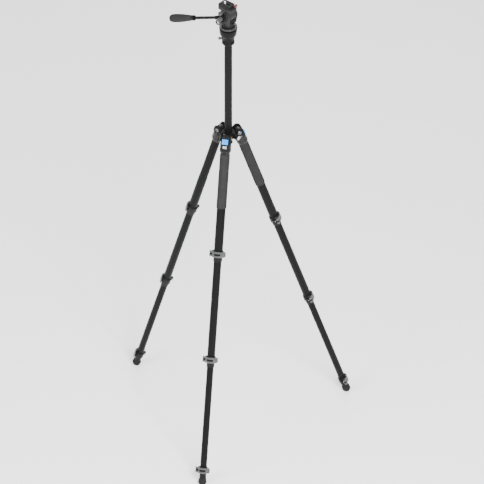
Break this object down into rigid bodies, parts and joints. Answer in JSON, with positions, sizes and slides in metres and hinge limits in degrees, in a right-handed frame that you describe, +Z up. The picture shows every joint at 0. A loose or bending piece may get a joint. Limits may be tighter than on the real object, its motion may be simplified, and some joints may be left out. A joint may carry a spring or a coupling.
{
  "type": "camera tripod with fluid head",
  "caption": "Black telescoping camera tripod with flip-lock legs, foam leg grips, a centre column and a fluid pan-and-tilt head with a pan handle and quick-release plate.",
  "frame": {"origin": "on the floor, at the centre of the tripod's footprint box", "axes": "+Z up, along the centre column; -Y towards the front leg; the other two legs point to +X and back, and to -X and back"},
  "size_m": [0.6312, 0.5546, 1.4106],
  "materials": {
    "tube_black": "black anodised, satin",
    "cast_black": "black powder coat on a casting",
    "lock_black": "moulded, matte",
    "gunmetal": "satin grey metal",
    "bright_steel": "bright, turned",
    "blue_anodised": "blue anodised",
    "red_anodised": "red anodised",
    "foam": "soft foam",
    "rubber": "matte rubber",
    "head_grey": "dark grey, fine powder coat",
    "knob_grey": "grey, satin"
  },
  "bodies": {
    "spider": {"spider": "cast_black", "front_pivot_bolt": "bright_steel", "right_pivot_bolt": "bright_steel", "left_pivot_bolt": "bright_steel"},
    "front_leg": {"front_leg_shoulder": "cast_black", "front_upper_tube": "tube_black", "front_lock_collar_1": "lock_black", "front_foam_grip": "foam"},
    "front_latch": {"front_angle_latch": "blue_anodised"},
    "front_middle_section": {"front_middle_tube": "tube_black", "front_lock_collar_2": "lock_black"},
    "front_lower_section": {"front_lower_tube": "tube_black", "front_lock_collar_3": "lock_black"},
    "front_bottom_section": {"front_bottom_tube": "tube_black", "front_rubber_foot": "rubber"},
    "front_lever_1": {"front_lock_lever_1": "gunmetal"},
    "front_lever_2": {"front_lock_lever_2": "gunmetal"},
    "front_lever_3": {"front_lock_lever_3": "gunmetal"},
    "right_leg": {"right_leg_shoulder": "cast_black", "right_upper_tube": "tube_black", "right_lock_collar_1": "lock_black", "right_foam_grip": "foam"},
    "right_latch": {"right_angle_latch": "blue_anodised"},
    "right_middle_section": {"right_middle_tube": "tube_black", "right_lock_collar_2": "lock_black"},
    "right_lower_section": {"right_lower_tube": "tube_black", "right_lock_collar_3": "lock_black"},
    "right_bottom_section": {"right_bottom_tube": "tube_black", "right_rubber_foot": "rubber"},
    "right_lever_1": {"right_lock_lever_1": "gunmetal"},
    "right_lever_2": {"right_lock_lever_2": "gunmetal"},
    "right_lever_3": {"right_lock_lever_3": "gunmetal"},
    "left_leg": {"left_leg_shoulder": "cast_black", "left_upper_tube": "tube_black", "left_lock_collar_1": "lock_black"},
    "left_latch": {"left_angle_latch": "blue_anodised"},
    "left_middle_section": {"left_middle_tube": "tube_black", "left_lock_collar_2": "lock_black"},
    "left_lower_section": {"left_lower_tube": "tube_black", "left_lock_collar_3": "lock_black"},
    "left_bottom_section": {"left_bottom_tube": "tube_black", "left_rubber_foot": "rubber"},
    "left_lever_1": {"left_lock_lever_1": "gunmetal"},
    "left_lever_2": {"left_lock_lever_2": "gunmetal"},
    "left_lever_3": {"left_lock_lever_3": "gunmetal"},
    "column": {"centre_column": "tube_black", "column_stop_cap": "lock_black", "column_top_collar": "cast_black", "head_base": "head_grey"},
    "column_knob": {"column_lock_knob": "lock_black"},
    "pan_lock": {"pan_lock_lever": "knob_grey"},
    "turntable": {"pan_body": "cast_black"},
    "tilt_drum": {"tilt_body": "head_grey"},
    "button": {"release_button": "red_anodised"},
    "plate": {"quick_release_plate": "head_grey"},
    "plate_screw": {"camera_screw": "bright_steel"},
    "plate_knob": {"clamp_knob": "knob_grey"},
    "handle": {"handle_rod": "cast_black", "handle_grip": "foam"},
    "wing_screw": {"handle_wing_screw": "knob_grey"}
  },
  "joints": [
    {"name": "front_leg_fold", "type": "hinge", "parent": "spider", "child": "front_leg", "pos_m": [0, 0.0571, 0.97], "axis": [-1, 0, 0], "range_deg": [-15, 60]},
    {"name": "front_latch_slide", "type": "slide", "parent": "front_leg", "child": "front_latch", "axis": [0, -0.9478, 0.319], "range_m": [0, 0.004], "stiffness_N_per_m": 400},
    {"name": "front_middle_slide", "type": "slide", "parent": "front_leg", "child": "front_middle_section", "axis": [0, -0.319, -0.9478], "range_m": [-0.27, 0]},
    {"name": "front_lower_slide", "type": "slide", "parent": "front_middle_section", "child": "front_lower_section", "axis": [0, -0.319, -0.9478], "range_m": [-0.285, 0]},
    {"name": "front_bottom_slide", "type": "slide", "parent": "front_lower_section", "child": "front_bottom_section", "axis": [0, -0.319, -0.9478], "range_m": [0, 0.27]},
    {"name": "front_lever_1_open", "type": "hinge", "parent": "front_leg", "child": "front_lever_1", "pos_m": [-0.0209, -0.05419, 0.64851], "axis": [0, -0.319, -0.9478], "range_deg": [0, 110]},
    {"name": "front_lever_2_open", "type": "hinge", "parent": "front_middle_section", "child": "front_lever_2", "pos_m": [-0.01941, -0.1531, 0.35397], "axis": [0, -0.319, -0.9478], "range_deg": [0, 110]},
    {"name": "front_lever_3_open", "type": "hinge", "parent": "front_lower_section", "child": "front_lever_3", "pos_m": [-0.01792, -0.25704, 0.04446], "axis": [0, -0.319, -0.9478], "range_deg": [0, 110]},
    {"name": "right_leg_fold", "type": "hinge", "parent": "spider", "child": "right_leg", "pos_m": [0.02451, 0.09955, 0.97], "axis": [0.5, -0.866, 0], "range_deg": [-15, 60]},
    {"name": "right_latch_slide", "type": "slide", "parent": "right_leg", "child": "right_latch", "axis": [0.8208, 0.4739, 0.319], "range_m": [0, 0.004], "stiffness_N_per_m": 400},
    {"name": "right_middle_slide", "type": "slide", "parent": "right_leg", "child": "right_middle_section", "axis": [0.2762, 0.1595, -0.9478], "range_m": [-0.27, 0]},
    {"name": "right_lower_slide", "type": "slide", "parent": "right_middle_section", "child": "right_lower_section", "axis": [0.2762, 0.1595, -0.9478], "range_m": [-0.285, 0]},
    {"name": "right_bottom_slide", "type": "slide", "parent": "right_lower_section", "child": "right_bottom_section", "axis": [0.2762, 0.1595, -0.9478], "range_m": [0, 0.27]},
    {"name": "right_lever_1_open", "type": "hinge", "parent": "right_leg", "child": "right_lever_1", "pos_m": [0.13134, 0.1371, 0.64851], "axis": [0.2762, 0.1595, -0.9478], "range_deg": [0, 110]},
    {"name": "right_lever_2_open", "type": "hinge", "parent": "right_middle_section", "child": "right_lever_2", "pos_m": [0.21625, 0.18784, 0.35397], "axis": [0.2762, 0.1595, -0.9478], "range_deg": [0, 110]},
    {"name": "right_lever_3_open", "type": "hinge", "parent": "right_lower_section", "child": "right_lever_3", "pos_m": [0.30552, 0.2411, 0.04446], "axis": [0.2762, 0.1595, -0.9478], "range_deg": [0, 110]},
    {"name": "left_leg_fold", "type": "hinge", "parent": "spider", "child": "left_leg", "pos_m": [-0.02451, 0.09955, 0.97], "axis": [0.5, 0.866, 0], "range_deg": [-15, 60]},
    {"name": "left_latch_slide", "type": "slide", "parent": "left_leg", "child": "left_latch", "axis": [-0.8208, 0.4739, 0.319], "range_m": [0, 0.004], "stiffness_N_per_m": 400},
    {"name": "left_middle_slide", "type": "slide", "parent": "left_leg", "child": "left_middle_section", "axis": [-0.2762, 0.1595, -0.9478], "range_m": [-0.27, 0]},
    {"name": "left_lower_slide", "type": "slide", "parent": "left_middle_section", "child": "left_lower_section", "axis": [-0.2762, 0.1595, -0.9478], "range_m": [-0.285, 0]},
    {"name": "left_bottom_slide", "type": "slide", "parent": "left_lower_section", "child": "left_bottom_section", "axis": [-0.2762, 0.1595, -0.9478], "range_m": [0, 0.27]},
    {"name": "left_lever_1_open", "type": "hinge", "parent": "left_leg", "child": "left_lever_1", "pos_m": [-0.11044, 0.17329, 0.64851], "axis": [-0.2762, 0.1595, -0.9478], "range_deg": [0, 110]},
    {"name": "left_lever_2_open", "type": "hinge", "parent": "left_middle_section", "child": "left_lever_2", "pos_m": [-0.19684, 0.22146, 0.35397], "axis": [-0.2762, 0.1595, -0.9478], "range_deg": [0, 110]},
    {"name": "left_lever_3_open", "type": "hinge", "parent": "left_lower_section", "child": "left_lever_3", "pos_m": [-0.2876, 0.27214, 0.04446], "axis": [-0.2762, 0.1595, -0.9478], "range_deg": [0, 110]},
    {"name": "column_slide", "type": "slide", "parent": "spider", "child": "column", "axis": [0, 0, 1], "range_m": [-0.26, 0]},
    {"name": "column_knob_turn", "type": "hinge", "parent": "spider", "child": "column_knob", "pos_m": [0.02858, 0.0689, 0.9665], "axis": [0.866, -0.5, 0], "range_deg": [-180, 180]},
    {"name": "pan", "type": "hinge", "parent": "column", "child": "turntable", "pos_m": [0, 0.0854, 1.33], "axis": [0, 0, 1], "continuous": true},
    {"name": "pan_lock_turn", "type": "hinge", "parent": "column", "child": "pan_lock", "pos_m": [-0.01889, 0.07882, 1.2892], "axis": [-0.9444, -0.3289, 0], "range_deg": [-90, 90]},
    {"name": "tilt", "type": "hinge", "parent": "turntable", "child": "tilt_drum", "pos_m": [0, 0.0854, 1.369], "axis": [0.4818, 0.8763, 0], "range_deg": [-40, 90]},
    {"name": "handle_angle", "type": "hinge", "parent": "tilt_drum", "child": "handle", "pos_m": [-0.01243, 0.06279, 1.369], "axis": [-0.4818, -0.8763, 0], "range_deg": [-40, 20]},
    {"name": "wing_screw_turn", "type": "hinge", "parent": "handle", "child": "wing_screw", "pos_m": [-0.01686, 0.05473, 1.369], "axis": [0.4818, 0.8763, 0], "range_deg": [-60, 90]},
    {"name": "plate_knob_turn", "type": "hinge", "parent": "tilt_drum", "child": "plate_knob", "pos_m": [-0.01423, 0.05328, 1.3916], "axis": [0.4818, 0.8763, 0], "range_deg": [-180, 180]},
    {"name": "plate_slide", "type": "slide", "parent": "tilt_drum", "child": "plate", "axis": [-0.8763, 0.4818, 0], "range_m": [0, 0.04]},
    {"name": "plate_screw_turn", "type": "hinge", "parent": "plate", "child": "plate_screw", "pos_m": [-0.00891, 0.08414, 1.4], "axis": [0, 0, 1], "range_deg": [-180, 180]},
    {"name": "release_button_press", "type": "slide", "parent": "tilt_drum", "child": "button", "axis": [0, 0, -1], "range_m": [0, 0.002], "stiffness_N_per_m": 400}
  ]
}
